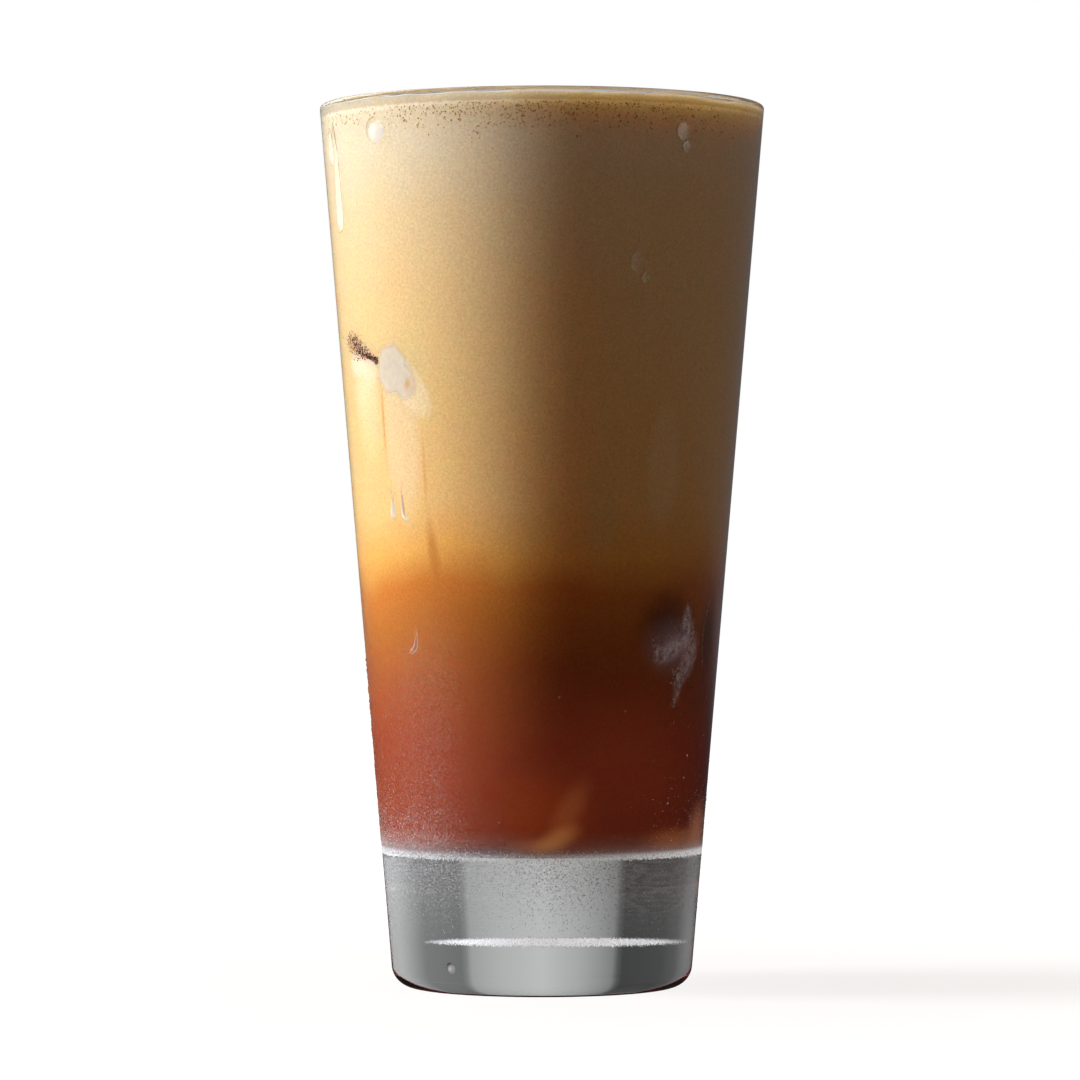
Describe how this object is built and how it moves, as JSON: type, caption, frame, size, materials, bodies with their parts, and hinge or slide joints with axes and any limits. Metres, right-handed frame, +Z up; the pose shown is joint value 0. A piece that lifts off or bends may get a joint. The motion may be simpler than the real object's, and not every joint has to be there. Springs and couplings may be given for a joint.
{
  "type": "iced coffee",
  "caption": "Tall heavy-based tumbler filled to the brim with iced coffee: black coffee below, milky foam above, ready to serve.",
  "frame": {"origin": "middle of the circle that the glass stands on", "axes": "+Z up along the axis of the glass; X and Y are equal, as the glass is round"},
  "size_m": [0.0808, 0.0808, 0.16],
  "materials": {
    "clear_glass": "pressed clear soda-lime glass, polished, misted with condensation",
    "black_coffee": "liquid black coffee, reddish brown where light comes through",
    "milky_foam": "fine wet milk foam, tan, with small bubbles",
    "ice": "clear ice with frosted patches",
    "water_drops": "clear condensed water"
  },
  "bodies": {
    "root": {"glass": "clear_glass", "coffee": "black_coffee", "foam": "milky_foam"}
  },
  "joints": []
}
